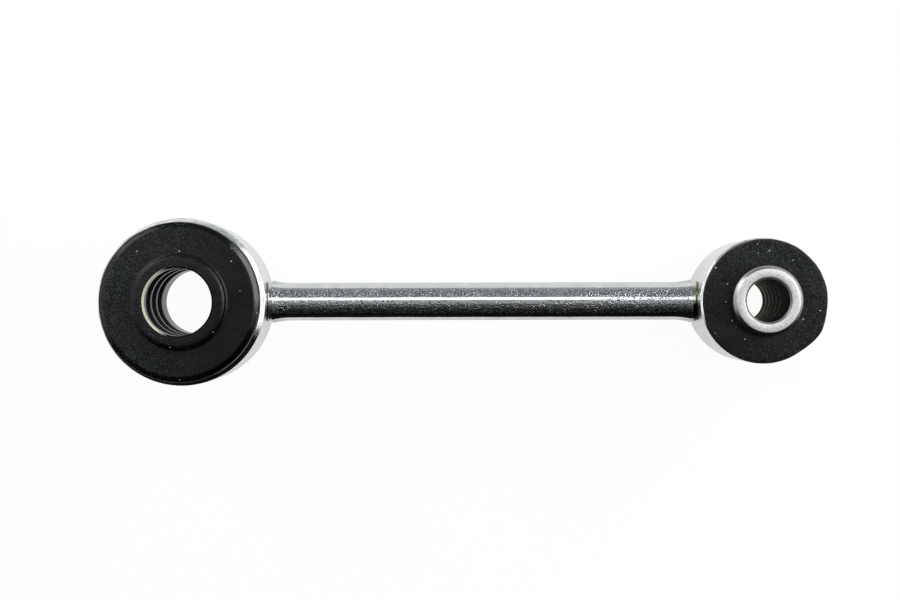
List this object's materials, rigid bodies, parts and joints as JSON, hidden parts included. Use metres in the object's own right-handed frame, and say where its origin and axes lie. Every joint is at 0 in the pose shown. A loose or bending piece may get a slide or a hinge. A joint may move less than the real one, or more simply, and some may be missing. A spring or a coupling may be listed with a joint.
{
  "type": "stabilizer link",
  "caption": "Straight steel rod link joining an anti-roll bar to a suspension arm, with a rubber-bushed ring eye welded at each end and a bolt sleeve in the smaller eye.",
  "frame": {"origin": "centre of the large eye's bore, half way along it", "axes": "+X points along the rod to the small eye, +Z runs along both bores"},
  "size_m": [0.1791, 0.0412, 0.034],
  "materials": {
    "rod_plating": "bright zinc plating over drawn bar, slightly rough",
    "ring_plating": "bright zinc plating over turned tube",
    "weld_plating": "plated weld metal, darker and duller than the rings",
    "bush_rubber": "moulded black rubber, matt with a fine grain",
    "sleeve_steel": "plated seamless tube with cut ends, satin"
  },
  "bodies": {
    "link": {"link_rod": "rod_plating", "large_eye_ring": "ring_plating", "large_eye_weld": "weld_plating", "large_bush": "bush_rubber", "small_eye_ring": "ring_plating", "small_eye_weld": "weld_plating", "small_bush": "bush_rubber"},
    "sleeve": {"bolt_sleeve": "sleeve_steel"}
  },
  "joints": [
    {"name": "sleeve_twist", "type": "hinge", "parent": "link", "child": "sleeve", "pos_m": [0.143, 0, 0], "axis": [0, 0, 1], "range_deg": [-20, 20], "stiffness_Nm_per_rad": 40}
  ]
}
